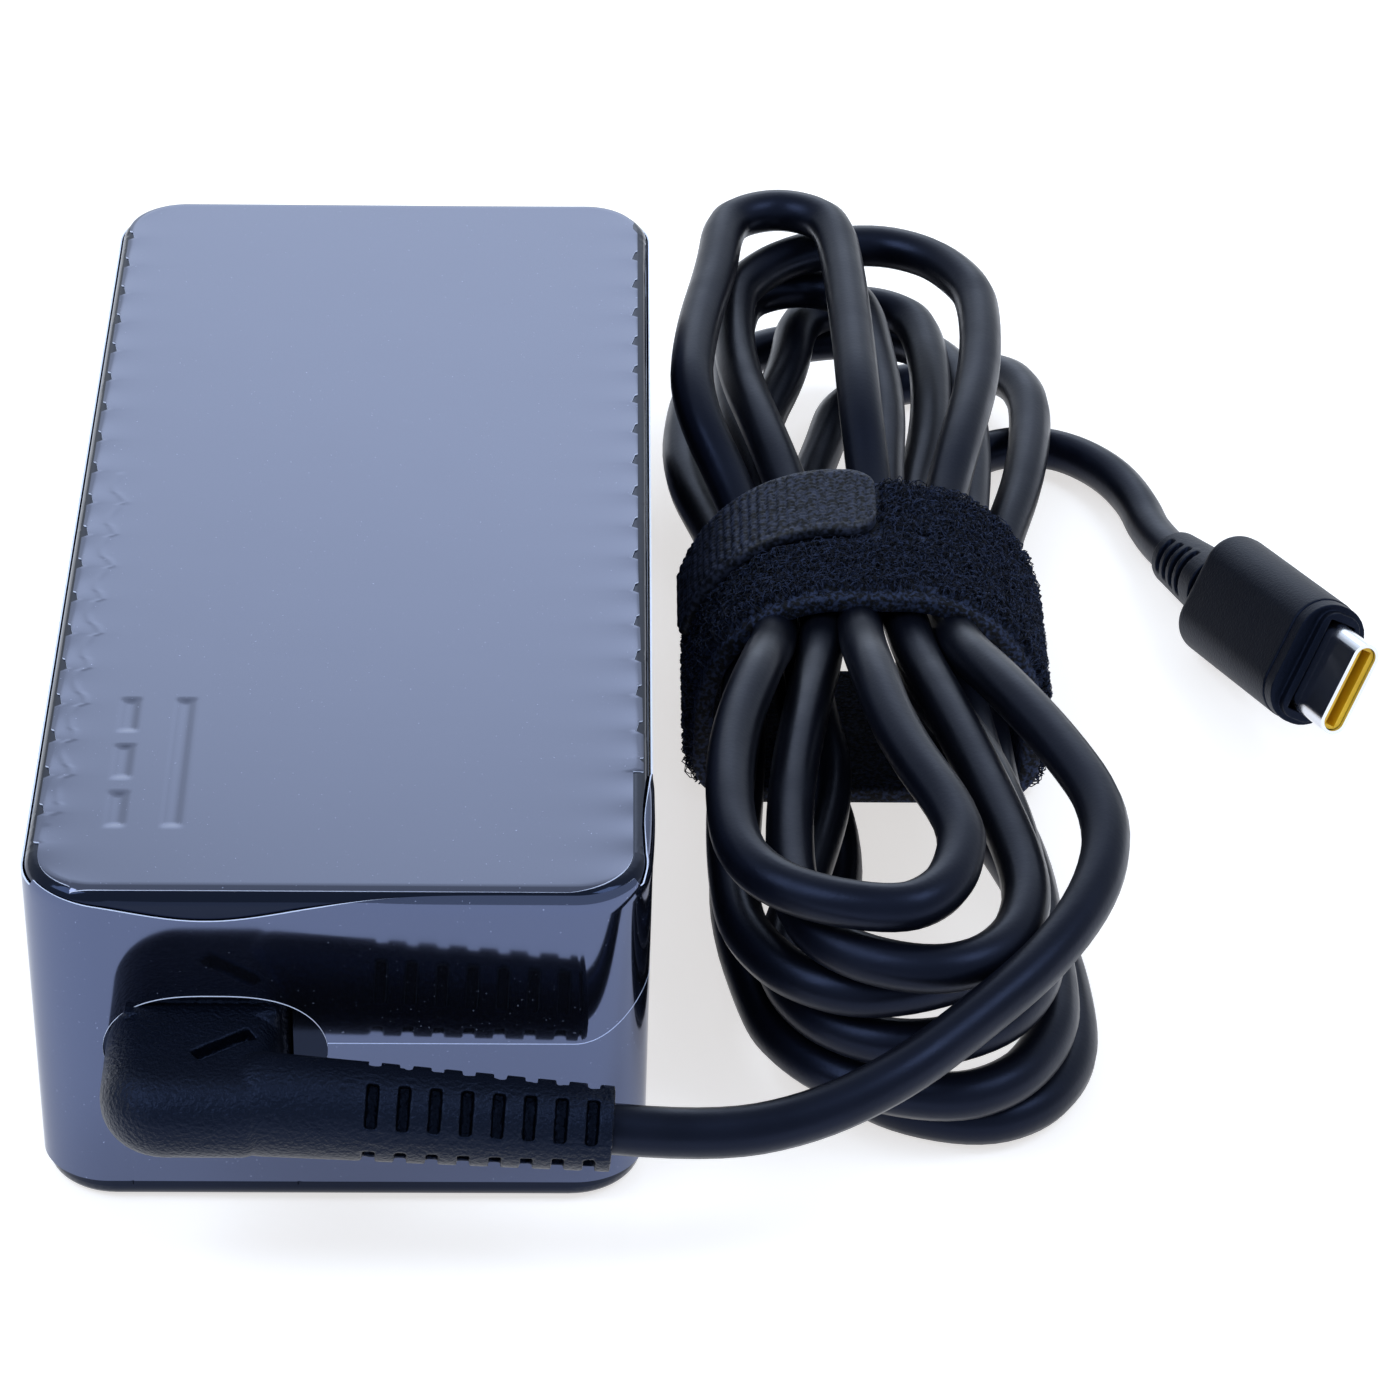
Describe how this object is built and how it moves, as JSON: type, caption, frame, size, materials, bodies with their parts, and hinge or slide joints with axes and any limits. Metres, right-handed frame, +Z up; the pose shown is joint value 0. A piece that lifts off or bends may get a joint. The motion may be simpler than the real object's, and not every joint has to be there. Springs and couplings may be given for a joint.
{
  "type": "laptop power adapter",
  "caption": "Laptop power adapter: a welded black case with an AC inlet, a right-angle strain relief and a coiled lead with a hook-and-loop tie and a USB-C plug.",
  "frame": {"origin": "middle of the case's underside, on the surface that it stands on", "axes": "+Z up, +Y along the case towards the AC inlet, -Y the end with the strain relief, +X the side where the coiled lead lies"},
  "size_m": [0.107, 0.1388, 0.0287],
  "materials": {
    "case_black": "gloss moulded plastic",
    "clear_film": "clear protective film over black, glossy with fine crimps",
    "inlet_black": "matte moulded plastic",
    "pin_brass": "nickel-plated brass",
    "tinned_wire": "tinned copper wire",
    "board_green": "solder-masked glass-epoxy board",
    "fuse_brown": "moulded box",
    "capacitor_yellow": "moulded polypropylene box",
    "chip_black": "moulded epoxy",
    "heat_sink": "plain sheet",
    "capacitor_sleeve": "shrink sleeve",
    "choke_sleeve": "shrink sleeve",
    "varistor_blue": "dipped epoxy",
    "capacitor_can": "polymer capacitor can",
    "ferrite": "sintered ferrite",
    "copper_wire": "enamelled copper",
    "bobbin_black": "moulded phenolic",
    "tape_yellow": "polyester tape",
    "pad_grey": "silicone pad",
    "sheet_film": "polyester sheet",
    "conductor_red": "insulated wire",
    "boot_black": "fine matte elastomer",
    "cord_black": "satin elastomer",
    "tie_fabric": "brushed loop nylon",
    "tie_hook": "woven nylon",
    "plug_black": "fine matte moulding",
    "shell_nickel": "nickel-plated steel",
    "tongue_yellow": "moulded insulator",
    "contact_gold": "gold flash"
  },
  "bodies": {
    "adapter": {"case_cover": "case_black", "case_base": "case_black", "boot_slot_panel": "case_black", "film_side": "clear_film", "film_top": "clear_film", "inlet_housing": "inlet_black", "inlet_pins": "pin_brass", "inlet_leads": "tinned_wire", "circuit_board": "board_green", "fuse": "fuse_brown", "x_capacitor": "capacitor_yellow", "bridge_rectifier": "chip_black", "primary_transistor": "chip_black", "primary_heat_sink": "heat_sink", "secondary_transistor": "chip_black", "secondary_heat_sink": "heat_sink", "optocoupler": "chip_black", "power_delivery_board": "board_green", "bulk_capacitor": "capacitor_sleeve", "inductor": "choke_sleeve", "varistor": "varistor_blue", "y_capacitor": "varistor_blue", "output_capacitors": "capacitor_can", "choke_core": "ferrite", "choke_windings": "copper_wire", "transformer_core": "ferrite", "transformer_bobbin": "bobbin_black", "transformer_winding": "tape_yellow", "thermal_pad": "pad_grey", "insulating_sheet": "sheet_film", "heat_spreader": "heat_sink", "lead_conductors": "conductor_red", "cord_boot": "boot_black", "cord_lead": "cord_black", "cord_hank": "cord_black", "cord_tail": "cord_black", "tie_band": "tie_fabric", "plug_strain_relief": "boot_black", "plug_overmould": "plug_black", "plug_collar": "plug_black", "plug_shell": "shell_nickel", "plug_tongue": "tongue_yellow", "plug_contacts": "contact_gold", "plug_circuit_board": "board_green"},
    "tie_tab": {"tie_tab": "tie_hook"}
  },
  "joints": [
    {"name": "tie_tab_peel", "type": "hinge", "parent": "adapter", "child": "tie_tab", "pos_m": [0.02697, 0.01405, 0.01106], "axis": [0, -1, 0], "range_deg": [0, 45]}
  ]
}
